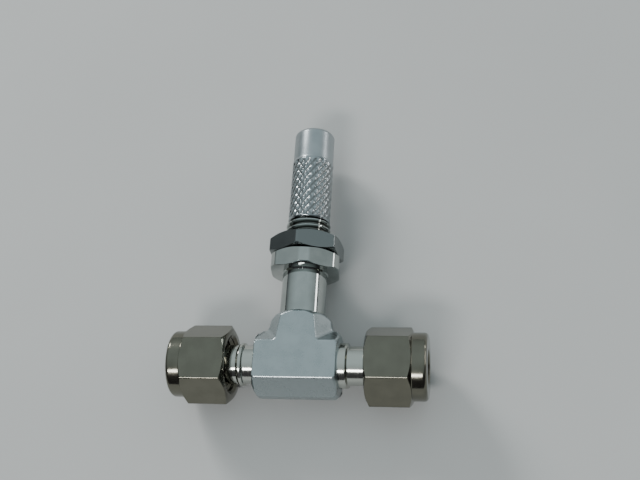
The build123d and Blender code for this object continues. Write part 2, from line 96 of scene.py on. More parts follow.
# A local frame stands on the crossing of the two axes: local Z runs along the axis, away from the body.
STEM_FRAME = Matrix(((0, 1, 0, CROSSING.x), (0, 0, 1, CROSSING.y), (1, 0, 0, CROSSING.z), (0, 0, 0, 1)))
OUTLET_FRAME = Matrix(((0, 0, 1, CROSSING.x), (1, 0, 0, CROSSING.y), (0, 1, 0, CROSSING.z), (0, 0, 0, 1)))
INLET_FRAME = Matrix(((0, 0, -1, CROSSING.x), (1, 0, 0, CROSSING.y), (0, -1, 0, CROSSING.z), (0, 0, 0, 1)))

# ---- dimensions in millimetres, measured along or out from an axis, from the crossing --------------
# What shows in the box of a CAD node is read from the frame.  The rest repeats the CAD part's sizes, or
# is detail that only this model has.

TUBE, STEM, OUT = range(3)


def along(node, axis):
    """Start and end of a CAD node from the crossing along an axis, to a hundredth of a millimetre."""
    return [round((corner - CROSSING)[axis] / MM, 2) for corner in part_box(node)]


THREAD_PITCH = 25.4 / 20              # tube nuts and panel neck
THREAD_DEPTH = 0.72

HEX_BEVEL = 30                        # degrees, at both ends of every hexagon
HEX_BEVEL_INSET = 0.1                 # the bevel starts that far inside the flats
ROLLED_CORNER = 0.22                  # rounding of the long edges of the nuts
SOFT_EDGE = 0.05
SOFT_BONNET_EDGE = 0.08

NUT_START, NUT_END = along("outlet_nut", TUBE)
NUT_HEX_END = 23.33
NUT_ACROSS_FLATS = 25.4 * 9 / 16
NUT_CORNER_R = NUT_ACROSS_FLATS / math.sqrt(3)
COLLAR_R = 6.81
COLLAR_FILLET = 0.12
COLLAR_ROUND = 0.8
TUBE_HOLE_R = 3.30
TUBE_HOLE_CHAMFER = 0.3
TUBE_HOLE_START = 24.85
FERRULE_ROOM_R = 4.9
FERRULE_ROOM_START = 22.2
FERRULE_ROOM_END = 23.25              # from here a cone narrows to the tube hole
NUT_BORE_R = 5.53
NUT_MOUTH_CHAMFER = 0.5
NUT_THREAD_END = 21.4
NUT_THREAD_DEPTH = 0.62

MALE_R = 5.48
MALE_START = 14.6
MALE_END = along("valve_body", TUBE)[1]
MALE_END_CHAMFER = 0.6
MALE_FADE = 1.2
THREAD_START = 15.5                   # a plain relief comes before it
STUB_R = 3.97
FERRULE_CONE_R = 4.33
FORGING_END = 8.6                     # the necks and stubs beyond it are turned
FORGED_EDGE = 0.28                    # rounding of the edges of the forging
END_BORE_R = 4.7
BONNET_BORE_R = 4.6
BONNET_BORE_START = 4
NECK_RING_START = 9.5                 # raised rings on the necks beside the body
NECK_RING_END = 12.6
NECK_RING_ROOT_R = 3.9
NECK_RING_EDGE = 0.22

BONNET_START, BONNET_END = along("bonnet", STEM)
BONNET_PLUG_R = 3.95                  # the part inside the body
BARREL_START = along("valve_body", STEM)[1]
BARREL_R = 4.72
BARREL_CHAMFER = 0.2
BARREL_FILLET = 0.25
HEX_START = 19.57
HEX_END = 23.36
HEX_CORNER_R = along("bonnet", OUT)[1]    # corners of the bonnet's hexagon, turned down
NECK_R = 4.7625
NECK_ROOT_R = NECK_R - 0.70
NECK_RELIEF = 0.3                     # plain length between the hexagon and the thread
NECK_END_CHAMFER = 0.3
NECK_FADE = 0.2
NECK_THREAD_SHIFT = 0.81              # brings the crests to where they are seen
SEAL_BORE_R = 2.45
DRIVE_BORE_START = along("stem_guide", STEM)[0]
DRIVE_BORE_R = 3.3
DRIVE_BORE_CHAMFER = 0.2
RING_GROOVE_R = 3.65                  # groove of the retaining ring
RING_GROOVE_START, RING_GROOVE_END = along("retaining_ring", STEM)

PANEL_NUT_START, PANEL_NUT_END = along("panel_nut", STEM)
PANEL_NUT_BORE_R = NECK_R + 0.05
PANEL_NUT_CHAMFER = 0.4
PANEL_NUT_THREAD_DEPTH = 0.5
INNER_FADE = 0.3                      # of the threads inside the nuts

HANDLE_START, HANDLE_END = along("handle", STEM)
HANDLE_BORE_R = 2.8
HANDLE_BORE_END = 43.5
HANDLE_BORE_CHAMFER = 0.15
SPINDLE_HOLE_END = 50.5
RIM_CHAMFER_DEPTH = 0.25
RIM_CHAMFER_LENGTH = 0.2
KNURL_R = along("handle", OUT)[1]
RIM_R = KNURL_R - 0.05                # smooth rims at both ends of the knurl
KNURL_END = 45.85
KNURL_STARTS = 20
KNURL_COLUMNS = 14                    # columns of points in a groove, and rings in a diamond
KNURL_PITCH = 1.9                     # length of one diamond along the handle
KNURL_DEPTH = 0.25
KNURL_CREST = 0.12                    # share of the distance between grooves that stays flat
CROSS_KNURL_SHARE = 0.82              # the second family of grooves is that much as deep
KNURL_LEAD = 0.35                     # smooth rim before the knurl
KNURL_MARGIN = 0.25                   # smooth rim after it
KNURL_FADE_IN = 0.25
KNURL_FADE_OUT = 0.3
KNURL_RAGGED = 0.12                   # unevenness of the end of the knurl
CAP_R = 4.405
CAP_ROUND = 1.0
CAP_STEP_START = KNURL_END - 0.1
CAP_STEP_END = KNURL_END + 0.05
CAP_SHADING_RING = KNURL_END + 0.5    # one more ring, which keeps the cap's shading even
DRILL_MARGIN = 1                      # the screw's drill starts that far outside the handle, and stops
                                      # that far short of the axis

SHANK_R = 1.75
SPINDLE_CREST_R = along("spindle", OUT)[1]
SPINDLE_PITCH = 0.635
SPINDLE_THREAD_START = 21.2
SPINDLE_THREAD_END = 32.5
SPINDLE_THREAD_FADE = 0.5
SPINDLE_START, SPINDLE_END = along("spindle", STEM)
SPINDLE_END_CHAMFER = 0.2
BALL_SOCKET_R = 1.25
BALL_SOCKET_END = 20.9
SWIVEL_GROOVE_R = along("swivel_ring", OUT)[1]
SWIVEL_GROOVE_START, SWIVEL_GROOVE_END = along("swivel_ring", STEM)

# Where one finish, or a painted shade, gives way to another: the second starts at one number and is full at
# the other.
TURNED_NECK_OUT = (8.50, 8.62)        # bright necks, out along the tube axis
PANEL_COLOR_Y = (-10, -8)             # the panel nut's grey, along the frame's Y axis
THREAD_SHADE_UP = (31.12, 31.05)            # painted shade in the roots of the panel thread
THREAD_SHADE_OUT = (4.66, 4.35)
OUTSIDE_BORE = (3.6, 3.7)             # and none of it in the bonnet's bore
KNURL_SHADE_UP = (45.9, 45.7)               # painted shade in the roots of the knurl
KNURL_SHADE_OUT = (4.46, 4.34)
SATIN_UP = (45.8, 46.1)               # smooth end of the handle

# ---- building materials ---------------------------------------------------------------------------


class Recipe:
    """A metal-like or plain surface, built up node by node. Lengths are in millimetres."""

    def __init__(self, name, color, metallic, roughness):
        self.material = bpy.data.materials.new(name)
        self.material.use_nodes = True
        self.tree = self.material.node_tree
        self.shader = self.tree.nodes["Principled BSDF"]
        self.shader.inputs["Base Color"].default_value = (*color, 1)
        self.shader.inputs["Metallic"].default_value = metallic
        self.shader.inputs["Roughness"].default_value = roughness
        self.color = color
        self.roughness = roughness
        object_place = self.node("ShaderNodeTexCoord").outputs["Object"]
        self.place = self.vector_math("SCALE", object_place, scale=1 / MM)

    def node(self, kind, **settings):
        made = self.tree.nodes.new(kind)
        for key, value in settings.items():
            setattr(made, key, value)
        return made

    def feed(self, socket, value):
        if hasattr(value, "is_output"):
            self.tree.links.new(value, socket)
        else:
            socket.default_value = value

    def vector_math(self, operation, first, second=None, scale=None):
        made = self.node("ShaderNodeVectorMath", operation=operation)
        self.feed(made.inputs[0], first)
        if second is not None:
            self.feed(made.inputs[1], second)
        if scale is not None:
            made.inputs["Scale"].default_value = scale
        return made.outputs["Value" if operation in ("LENGTH", "DOT_PRODUCT") else "Vector"]

    def math(self, operation, first, second=0.0):
        made = self.node("ShaderNodeMath", operation=operation)
        self.feed(made.inputs[0], first)
        self.feed(made.inputs[1], second)
        return made.outputs[0]

    def parts(self, vector):
        made = self.node("ShaderNodeSeparateXYZ")
        self.feed(made.inputs[0], vector)
        return made.outputs

    def vector(self, x, y, z):
        made = self.node("ShaderNodeCombineXYZ")
        for socket, value in zip(made.inputs, (x, y, z)):
            self.feed(socket, value)
        return made.outputs[0]

    def noise(self, scale, detail=3.0, stretch=(1, 1, 1)):
        """Noise whose features are about 1/scale millimetres across, stretched along an axis."""
        where = self.vector_math("MULTIPLY", self.place, stretch)
        made = self.node("ShaderNodeTexNoise")
        self.feed(made.inputs["Vector"], where)
        made.inputs["Scale"].default_value = scale
        made.inputs["Detail"].default_value = detail
        return made.outputs["Fac"]

    def remap(self, value, low, high, to_low=0.0, to_high=1.0):
        made = self.node("ShaderNodeMapRange")
        for socket, number in zip(made.inputs, (value, low, high, to_low, to_high)):
            self.feed(socket, number)
        return made.outputs[0]

    def mix(self, share, first, second):
        """Blends two colours, or two values, by the share of the second."""
        made = self.node("ShaderNodeMix", data_type="RGBA")
        self.feed(made.inputs[0], share)
        self.feed(made.inputs[6], first if hasattr(first, "is_output") else (*first, 1))
        self.feed(made.inputs[7], second if hasattr(second, "is_output") else (*second, 1))
        return made.outputs[2]

    def bump(self, height, distance):
        """Relief of that many millimetres."""
        made = self.node("ShaderNodeBump")
        made.inputs["Strength"].default_value = 1.0
        made.inputs["Distance"].default_value = distance * MM
        self.feed(made.inputs["Height"], height)
        return made.outputs[0]

    def about_stem(self):
        """Distance up the stem axis from the crossing, and distance out from that axis."""
        parts = self.parts(self.vector_math("SUBTRACT", self.place, CROSSING / MM))
        return parts["Y"], self.vector_math("LENGTH", self.vector(parts["X"], 0, parts["Z"]))

    def finish(self, color=None, roughness=None, normal=None):
        for name, value in (("Base Color", color), ("Roughness", roughness), ("Normal", normal)):
            if value is not None:
                self.feed(self.shader.inputs[name], value)
        return self.material


NOISE_RANGE = (0.3, 0.7)              # most of a noise's values lie in it
NOISE_CORE = (0.35, 0.65)
SCRATCH_STRETCH = (0.12, 2.6, 1.4)
SCRATCH_RANGE = (0.66, 0.70)          # only the peaks of that noise are scratches
SCRATCH_DEPTH = 0.6


def worn_metal(r, stretch, grain, blotch, depth):
    """Adds cloudy tone, fine directional grain and thin scratches, of that depth, to a bare metal."""
    clouds = r.noise(0.35, 4)
    fine = r.noise(6.0, 3, stretch)
    scratches = r.remap(r.noise(2.2, 2, SCRATCH_STRETCH), *SCRATCH_RANGE)
    darker = tuple(c * (1 - blotch) for c in r.color)
    lighter = tuple(min(1, c * (1 + blotch)) for c in r.color)
    tone = r.mix(r.remap(clouds, *NOISE_CORE), darker, lighter)
    rough = r.remap(clouds, *NOISE_RANGE, r.roughness * 0.85, r.roughness * 1.2)
    rough = r.math("ADD", rough, r.remap(fine, *NOISE_RANGE, -grain * 0.08, grain * 0.08))
    grooves = r.math("MULTIPLY", scratches, SCRATCH_DEPTH)
    relief = r.math("SUBTRACT", r.math("MULTIPLY", fine, grain), grooves)
    return tone, rough, r.bump(relief, depth)


def plain_metal(name, color, roughness, stretch=(1, 1, 1), blotch=0.06):
    r = Recipe(name, color, 1.0, roughness)
    tone, rough, normal = worn_metal(r, stretch, grain=0.5, blotch=blotch, depth=0.001)
    return r.finish(color=tone, roughness=rough, normal=normal)


def nut_metal(name, color, panel_color, roughness):
    """Darker drawn steel of the tube nuts, and the cooler grey of the panel nut."""
    r = Recipe(name, color, 1.0, roughness)
    tone, rough, normal = worn_metal(r, (0.2, 2, 2), grain=0.4, blotch=0.06, depth=0.001)
    up_the_stem = r.remap(r.parts(r.place)["Y"], *PANEL_COLOR_Y)
    return r.finish(color=r.mix(up_the_stem, tone, panel_color), roughness=rough, normal=normal)


def bonnet_metal(name, color, thread_shade_color, roughness):
    """Bright turned steel, with painted shade darkening the roots of the panel thread."""
    r = Recipe(name, color, 1.0, roughness)
    tone, rough, normal = worn_metal(r, (0.3, 6, 0.3), grain=0.3, blotch=0.06, depth=0.001)
    up, out = r.about_stem()
    # painted shade: the roots of the panel thread, below the neck's end and outside the bore, are darkened
    below_end = r.remap(up, *THREAD_SHADE_UP)
    in_root = r.math("MULTIPLY", r.remap(out, *THREAD_SHADE_OUT), r.remap(out, *OUTSIDE_BORE))
    thread_shade = r.math("MULTIPLY", in_root, below_end)
    return r.finish(color=r.mix(thread_shade, tone, thread_shade_color), roughness=rough, normal=normal)


def handle_metal(name, color, knurl_shade_color, roughness, end_roughness):
    """Bright knurl with painted shade darkening its roots, and a more satin smooth end beyond it."""
    r = Recipe(name, color, 1.0, roughness)
    tone, rough, normal = worn_metal(r, (0.3, 5, 0.3), grain=0.3, blotch=0.06, depth=0.001)
    up, out = r.about_stem()
    beyond_knurl = r.remap(up, *SATIN_UP)
    # painted shade: the knurl's grooves, below its crests and short of its end, are darkened
    in_groove = r.math("MULTIPLY", r.remap(out, *KNURL_SHADE_OUT), r.remap(up, *KNURL_SHADE_UP))
    satin = r.math("MULTIPLY", beyond_knurl, end_roughness - roughness)
    return r.finish(color=r.mix(in_groove, tone, knurl_shade_color), roughness=r.math("ADD", rough, satin),
                    normal=normal)


def forged_steel(name, color, turned_color, roughness):
    """Satin forging, with bright turned necks and stubs beyond its ends."""
    r = Recipe(name, color, 1.0, roughness)
    tone, rough, normal = worn_metal(r, (1, 1, 1), grain=0.3, blotch=0.05, depth=0.0004)
    out = r.math("ABSOLUTE", r.parts(r.place)["X"])
    turned = r.remap(out, *TURNED_NECK_OUT)
    fine_rings = r.noise(5.0, 2, (1, 0.02, 0.02))
    rough = r.mix(turned, rough, r.remap(fine_rings, *NOISE_RANGE, 0.09, 0.17))
    tone = r.mix(turned, tone, turned_color)
    return r.finish(color=tone, roughness=rough, normal=normal)


def soft_solid(name, color, roughness, mottle):
    """Rubber or plastic: faintly mottled, with a fine grain."""
    r = Recipe(name, color, 0.0, roughness)
    mottled = r.remap(r.noise(0.8, 4), *NOISE_CORE)
    tone = r.mix(mottled, tuple(c * (1 - mottle) for c in color), color)
    rough = r.remap(r.noise(5.0, 2), *NOISE_RANGE, roughness * 0.9, roughness * 1.1)
    return r.finish(color=tone, roughness=rough, normal=r.bump(r.noise(7.0, 2), 0.002))


def oxide(name, color, worn_color, roughness):
    """Blackened steel, worn to grey in places."""
    r = Recipe(name, color, 0.7, roughness)
    wear = r.remap(r.noise(1.6, 5), 0.60, 0.72)
    tone = r.mix(wear, color, worn_color)
    rough = r.remap(r.noise(4.0, 3), *NOISE_RANGE, roughness * 0.85, roughness * 1.15)
    return r.finish(color=tone, roughness=rough, normal=r.bump(r.noise(6.0, 3), 0.002))


MATERIALS = {
    "satin_steel": forged_steel("satin_steel", (0.405, 0.455, 0.465), (0.51, 0.52, 0.48), 0.28),
    # the second colour of turned_steel is painted shade in the roots of the panel thread
    "turned_steel": bonnet_metal("turned_steel", (0.405, 0.43, 0.415), (0.13, 0.135, 0.125), 0.10),
    "nut_steel": nut_metal("nut_steel", (0.175, 0.168, 0.135), (0.198, 0.213, 0.212), 0.14),
    # the second colour of knurled_steel is painted shade in the roots of the knurl
    "knurled_steel": handle_metal("knurled_steel", (0.375, 0.41, 0.425), (0.21, 0.22, 0.22), 0.17, 0.34),
    "hard_steel": plain_metal("hard_steel", (0.55, 0.56, 0.58), 0.12),
    "bronze": plain_metal("bronze", (0.62, 0.42, 0.22), 0.28, (0.3, 5, 0.3), blotch=0.12),
    "plated_gasket": plain_metal("plated_gasket", (0.72, 0.72, 0.68), 0.35, (0.3, 5, 0.3), blotch=0.1),
    "black_rubber": soft_solid("black_rubber", (0.022, 0.022, 0.023), 0.55, 0.25),
    "white_ptfe": soft_solid("white_ptfe", (0.86, 0.86, 0.84), 0.45, 0.04),
    "black_oxide": oxide("black_oxide", (0.045, 0.045, 0.05), (0.25, 0.25, 0.26), 0.38),
}
for part in frame["record"]["subparts"]:
    mesh = NODES[part["node"]].data
    mesh.materials.clear()
    mesh.materials.append(MATERIALS[part["material_slot"]])

# ---- building meshes ------------------------------------------------------------------------------
# A turned piece is a skin through rings of points about an axis.  A ring is a function that gives
# (radius, distance along the axis), in millimetres, at an angle.  The first column of points is
# repeated after a full turn, so that a helix can climb from one ring to another; the seam is then
# merged.

FULL_TURN = 2 * math.pi
MERGE = 1e-4 * MM                     # points closer than this are one point
CAD_MERGE = 1e-3 * MM                 # and this, in the CAD mesh
FLAT_ANGLE = 0.4                      # degrees: faces that meet at less are one flat
ROUNDED_ANGLE = 25                    # degrees: an edge of the forging is sharp from here,
MACHINED_ANGLE = 32                   # one of the nuts and the bonnet from here,
GROOVED_ANGLE = 40                    # and one of the handle and spindle, with their fine grooves, from here


def even_angles(count):
    return [FULL_TURN * k / count for k in range(count + 1)]


def at(radius, distance):
    return lambda angle: (radius, distance)


def profile(*points):
    return [at(*point) for point in points]


def quarter_round(radius, distance, round_r):
    """Rings of a rounded edge that ends on a face across the axis at that distance."""
    steps = 8
    rings = []
    for k in range(steps + 1):
        turn = math.pi / 2 * k / steps
        rings.append(at(radius - round_r * (1 - math.cos(turn)),
                        distance - round_r * (1 - math.sin(turn))))
    return rings


def skin(mesh, place, rings, angles, closed):
    """Adds the surface through the rings; a closed one joins its last ring to its first."""
    rows = []
    for ring in rings:
        row = []
        for angle in angles:
            radius, distance = ring(angle)
            spot = Vector((radius * math.cos(angle), radius * math.sin(angle), distance)) * MM
            row.append(mesh.verts.new(place @ spot))
        rows.append(row)
    if closed:
        rows.append(rows[0])
    for low, high in zip(rows, rows[1:]):
        for k in range(len(angles) - 1):
            mesh.faces.new((low[k], low[k + 1], high[k + 1], high[k]))


def clean(mesh):
    """Merges seams and turns the faces outward."""
    bmesh.ops.remove_doubles(mesh, verts=mesh.verts, dist=MERGE)
    bmesh.ops.dissolve_degenerate(mesh, edges=mesh.edges, dist=MERGE)
    bmesh.ops.recalc_face_normals(mesh, faces=mesh.faces)


def round_edges(mesh, width, wanted):
    """Rounds the sharp edges that wanted(edge) picks."""
    edges = [edge for edge in mesh.edges if len(edge.link_faces) == 2 and wanted(edge)
             and edge.calc_face_angle() > math.radians(ROUNDED_ANGLE)]
    bmesh.ops.bevel(mesh, geom=edges, offset=width * MM, offset_type="OFFSET", segments=4,
                    profile=0.5, affect="EDGES", clamp_overlap=False)


def mesh_object(name, mesh):
    data = bpy.data.meshes.new(name)
    mesh.to_mesh(data)
    mesh.free()
    made = bpy.data.objects.new(name, data)
    bpy.context.scene.collection.objects.link(made)
    return made


def turned(name, place, rings, angles, closed=True, corner_width=0.0):
    """A turned piece; the long edges of its hexagon, if it has one, are rounded to that width."""
    mesh = bmesh.new()
    skin(mesh, place, rings, angles, closed)
    clean(mesh)
    axis = place.to_3x3() @ Vector((0, 0, 1))

    def runs_along(edge):
        step = edge.verts[1].co - edge.verts[0].co
        return step.length > MM and abs(step.normalized().dot(axis)) > 0.99

    if corner_width:
        round_edges(mesh, corner_width, runs_along)
    return mesh_object(name, mesh)


def soften(piece, width, limit):
    """Rounds the edges sharper than the limit, and keeps the flats flat in the shading."""
    for face in piece.data.polygons:
        face.use_smooth = True
    piece.data.set_sharp_from_angle(angle=math.radians(limit))
    if width:
        bevel = piece.modifiers.new("soft_edges", "BEVEL")
        bevel.width = width * MM
        bevel.segments = 3
        bevel.limit_method = "ANGLE"
        bevel.angle_limit = math.radians(limit)
        bevel.use_clamp_overlap = True
        flatten = piece.modifiers.new("flat_faces", "WEIGHTED_NORMAL")
        flatten.mode = "FACE_AREA"
        flatten.weight = 80
        flatten.keep_sharp = True


def finish_piece(piece, node, slot):
    """Gives the piece its finish, stands it for the CAD node and lets it ride on the node's body."""
    piece.data.materials.clear()
    piece.data.materials.append(MATERIALS[slot])
    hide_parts(node)
    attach(piece, NODES[node]["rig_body"])


def hexagon(across_flats, corner_r, start, end, turn):
    """Rings of a hexagon whose corners are bevelled at both ends and turned down to corner_r."""
    face_r = across_flats / 2 - HEX_BEVEL_INSET
    slope = math.tan(math.radians(HEX_BEVEL))

    def radius(angle):
        off = (angle - turn + math.pi / 6) % (math.pi / 3) - math.pi / 6
        return min(across_flats / 2 / math.cos(off), corner_r)

    def near(angle):
        return radius(angle), start + (radius(angle) - face_r) * slope

    def far(angle):
        return radius(angle), end - (radius(angle) - face_r) * slope

    return [at(face_r, start), near, far, at(face_r, end)]


def hexagon_angles(across_flats, corner_r, turn, flat_steps, corner_steps=5):
    """Angles with columns exactly where the flats end."""
    half_flat = math.pi / 6
    if corner_r * 2 < across_flats / math.cos(math.pi / 6):
        half_flat = math.acos(across_flats / 2 / corner_r)
    angles = []
    for side in range(6):
        centre = turn + side * math.pi / 3
        angles += [centre - half_flat + 2 * half_flat * k / flat_steps for k in range(flat_steps)]
        gap = math.pi / 3 - 2 * half_flat
        if gap > 1e-6:
            angles += [centre + half_flat + gap * k / corner_steps for k in range(corner_steps)]
    return angles + [angles[0] + FULL_TURN]


def corner_turn(node, place):
    """Angle of the first flat of a CAD node's hexagon, from the six-fold pattern of its corners."""
    to_local = place.inverted()
    spots = [to_local @ v.co for v in NODES[node].data.vertices]
    reach = max(math.hypot(p.x, p.y) for p in spots)
    corners = [math.atan2(p.y, p.x) for p in spots if math.hypot(p.x, p.y) > reach * 0.999]
    sine = sum(math.sin(6 * a) for a in corners)
    cosine = sum(math.cos(6 * a) for a in corners)
    return math.atan2(sine, cosine) / 6 + math.pi / 6


def thread(start, end, pitch, root_r, crest_r, fade, crest=0.16, root=0.16, limit=None, shift=0.0):
    """Rings of a right-hand helix.  Crest and root are the widths of their flats, as shares of the
    pitch.  It fades in at the start over that length, and limit(distance) caps its radius."""
    marks = [root / 2, 0.5 - crest / 2, 0.5 + crest / 2, 1 - root / 2]

    def tooth(phase):
        off = abs(phase % 1 - 0.5)
        return min(1, max(0, (0.5 - root / 2 - off) / (0.5 - root / 2 - crest / 2)))

    def ring_at(climb):
        def ring(angle):
            distance = min(end, max(start, climb + pitch * angle / FULL_TURN))
            height = tooth((distance - shift) / pitch - angle / FULL_TURN)
            height *= min(1, (distance - start) / fade)
            radius = root_r + (crest_r - root_r) * height
            return (min(radius, limit(distance)) if limit else radius), distance
        return ring

    first = math.floor((start - shift) / pitch) - 2
    last = math.ceil((end - shift) / pitch) + 1
    return [ring_at(shift + pitch * (k + mark)) for k in range(first, last) for mark in marks]


# ---- tube nuts ------------------------------------------------------------------------------------


def make_tube_nut(node, place):
    turn = corner_turn(node, place)
    angles = hexagon_angles(NUT_ACROSS_FLATS, NUT_CORNER_R, turn, flat_steps=20)
    outside = hexagon(NUT_ACROSS_FLATS, NUT_CORNER_R, NUT_START, NUT_HEX_END, turn)
    collar = profile((COLLAR_R + COLLAR_FILLET, NUT_HEX_END), (COLLAR_R, NUT_HEX_END + COLLAR_FILLET))
    rim = quarter_round(COLLAR_R, NUT_END, COLLAR_ROUND)
    hole = profile((TUBE_HOLE_R + TUBE_HOLE_CHAMFER, NUT_END), (TUBE_HOLE_R, NUT_END - TUBE_HOLE_CHAMFER),
                   (TUBE_HOLE_R, TUBE_HOLE_START), (FERRULE_ROOM_R, FERRULE_ROOM_END),
                   (FERRULE_ROOM_R, FERRULE_ROOM_START), (NUT_BORE_R, FERRULE_ROOM_START),
                   (NUT_BORE_R, NUT_THREAD_END))
    thread_start = NUT_START + NUT_MOUTH_CHAMFER
    inner_thread = thread(thread_start, NUT_THREAD_END, THREAD_PITCH, NUT_BORE_R,
                          NUT_BORE_R - NUT_THREAD_DEPTH, crest=0.08, root=0.24, fade=INNER_FADE,
                          shift=THREAD_PITCH / 2)
    mouth = profile((NUT_BORE_R, thread_start), (NUT_BORE_R + NUT_MOUTH_CHAMFER, NUT_START))
    rings = outside + collar + rim + hole + inner_thread[::-1] + mouth
    nut = turned(node + "_threaded", place, rings, angles, corner_width=ROLLED_CORNER)
    soften(nut, SOFT_EDGE, limit=MACHINED_ANGLE)
    finish_piece(nut, node, "nut_steel")


# ---- bonnet and panel nut -------------------------------------------------------------------------


def neck_chamfer(distance):
    """Radius that the panel thread keeps within, near the neck's end."""
    return NECK_R - NECK_END_CHAMFER + max(0, BONNET_END - distance)


def make_bonnet():
    turn = corner_turn("bonnet", STEM_FRAME)
    angles = hexagon_angles(NUT_ACROSS_FLATS, HEX_CORNER_R, turn, flat_steps=14)
    shank = profile((SEAL_BORE_R, BONNET_START), (BONNET_PLUG_R, BONNET_START),
                    (BONNET_PLUG_R, BARREL_START), (BARREL_R - BARREL_CHAMFER, BARREL_START),
                    (BARREL_R, BARREL_START + BARREL_CHAMFER), (BARREL_R, HEX_START - BARREL_FILLET),
                    (BARREL_R + BARREL_FILLET, HEX_START))
    hexagon_rings = hexagon(NUT_ACROSS_FLATS, HEX_CORNER_R, HEX_START, HEX_END, turn)
    thread_start = HEX_END + NECK_RELIEF
    neck = profile((NECK_ROOT_R, HEX_END), (NECK_ROOT_R, thread_start))
    neck_thread = thread(thread_start, BONNET_END, THREAD_PITCH, NECK_ROOT_R, NECK_R, fade=NECK_FADE,
                         limit=neck_chamfer, shift=NECK_THREAD_SHIFT)
    bore = profile((DRIVE_BORE_R + DRIVE_BORE_CHAMFER, BONNET_END),
                   (DRIVE_BORE_R, BONNET_END - DRIVE_BORE_CHAMFER),
                   (DRIVE_BORE_R, RING_GROOVE_END), (RING_GROOVE_R, RING_GROOVE_END),
                   (RING_GROOVE_R, RING_GROOVE_START), (DRIVE_BORE_R, RING_GROOVE_START),
                   (DRIVE_BORE_R, DRIVE_BORE_START), (SEAL_BORE_R, DRIVE_BORE_START))
    rings = shank + hexagon_rings + neck + neck_thread + bore
    bonnet = turned("bonnet_threaded", STEM_FRAME, rings, angles)
    soften(bonnet, SOFT_BONNET_EDGE, limit=MACHINED_ANGLE)
    finish_piece(bonnet, "bonnet", "turned_steel")


def make_panel_nut():
    turn = corner_turn("panel_nut", STEM_FRAME)
    angles = hexagon_angles(NUT_ACROSS_FLATS, NUT_CORNER_R, turn, flat_steps=16)
    outside = hexagon(NUT_ACROSS_FLATS, NUT_CORNER_R, PANEL_NUT_START, PANEL_NUT_END, turn)
    mouth_r = PANEL_NUT_BORE_R + PANEL_NUT_CHAMFER
    thread_start = PANEL_NUT_START + PANEL_NUT_CHAMFER
    thread_end = PANEL_NUT_END - PANEL_NUT_CHAMFER
    inner_thread = thread(thread_start, thread_end, THREAD_PITCH, PANEL_NUT_BORE_R,
                          PANEL_NUT_BORE_R + PANEL_NUT_THREAD_DEPTH, fade=INNER_FADE,
                          shift=NECK_THREAD_SHIFT)
    far_mouth = profile((mouth_r, PANEL_NUT_END), (PANEL_NUT_BORE_R, thread_end))
    near_mouth = profile((PANEL_NUT_BORE_R, thread_start), (mouth_r, PANEL_NUT_START))
    rings = outside + far_mouth + inner_thread[::-1] + near_mouth
    nut = turned("panel_nut_threaded", STEM_FRAME, rings, angles, corner_width=ROLLED_CORNER)
    soften(nut, SOFT_EDGE, limit=MACHINED_ANGLE)
    finish_piece(nut, "panel_nut", "nut_steel")


# ---- handle ---------------------------------------------------------------------------------------


def knurl_rings():
    """Two crossing families of shallow V grooves, which run out unevenly at the smooth end."""
    start = HANDLE_START + KNURL_LEAD
    end = KNURL_END - KNURL_MARGIN

    def groove(phase):
        off = abs(phase % 1 - 0.5) * 2
        return max(0, (off - KNURL_CREST) / (1 - KNURL_CREST))

    def ring_at(distance):
        def ring(angle):
            round_the_handle = KNURL_STARTS * angle / FULL_TURN
            along = (distance - start) / KNURL_PITCH
            depth = max(groove(round_the_handle - along),
                        groove(round_the_handle + along) * CROSS_KNURL_SHARE)
            ragged = end - KNURL_RAGGED * (1 + math.sin(angle * 7 + 1) * math.sin(angle * 3))
            fade_in = (distance - start) / KNURL_FADE_IN
            fade_out = max(0, ragged - distance) / KNURL_FADE_OUT
            return KNURL_R - KNURL_DEPTH * depth * min(1, fade_in, fade_out), distance
        return ring

    count = round((end - start) / KNURL_PITCH * KNURL_COLUMNS)
    return [ring_at(start + (end - start) * k / count) for k in range(count + 1)]


def make_handle():
    inside = profile((0, SPINDLE_HOLE_END), (SHANK_R, SPINDLE_HOLE_END), (SHANK_R, HANDLE_BORE_END),
                     (HANDLE_BORE_R, HANDLE_BORE_END),
                     (HANDLE_BORE_R, HANDLE_START + HANDLE_BORE_CHAMFER),
                     (HANDLE_BORE_R + HANDLE_BORE_CHAMFER, HANDLE_START))
    skirt = profile((RIM_R - RIM_CHAMFER_DEPTH, HANDLE_START), (RIM_R, HANDLE_START + RIM_CHAMFER_LENGTH))
    cap = profile((RIM_R, CAP_STEP_START), (CAP_R, CAP_STEP_END), (CAP_R, CAP_SHADING_RING))
    rings = inside + skirt + knurl_rings() + cap + quarter_round(CAP_R, HANDLE_END, CAP_ROUND)
    rings.append(at(0, HANDLE_END))
    handle = turned("knurled_handle", STEM_FRAME, rings, even_angles(KNURL_STARTS * KNURL_COLUMNS),
                    closed=False)
    drill_screw_hole(handle)
    soften(handle, 0, limit=GROOVED_ANGLE)
    finish_piece(handle, "handle", "knurled_steel")


def drill_screw_hole(handle):
    """Cuts the set screw's hole from the back of the handle in to the spindle."""
    low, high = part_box("handle_set_screw")
    centre = (low + high) / 2
    radius = (high.x - low.x) / 2 / MM
    place = Matrix.Translation(Vector((centre.x, centre.y, CROSSING.z)))
    outside = -CAP_R - DRILL_MARGIN
    rings = profile((0, outside), (radius, outside), (radius, -DRILL_MARGIN), (0, -DRILL_MARGIN))
    drill = turned("screw_drill", place, rings, even_angles(48), closed=False)
    cut = handle.modifiers.new("screw_hole", "BOOLEAN")
    cut.operation = "DIFFERENCE"
    cut.solver = "EXACT"
    cut.object = drill
    bpy.context.view_layer.update()
    seen = handle.evaluated_get(bpy.context.evaluated_depsgraph_get())
    drilled = bpy.data.meshes.new_from_object(seen)
    handle.modifiers.clear()
    handle.data = drilled
    bpy.data.objects.remove(drill)


# ---- spindle --------------------------------------------------------------------------------------


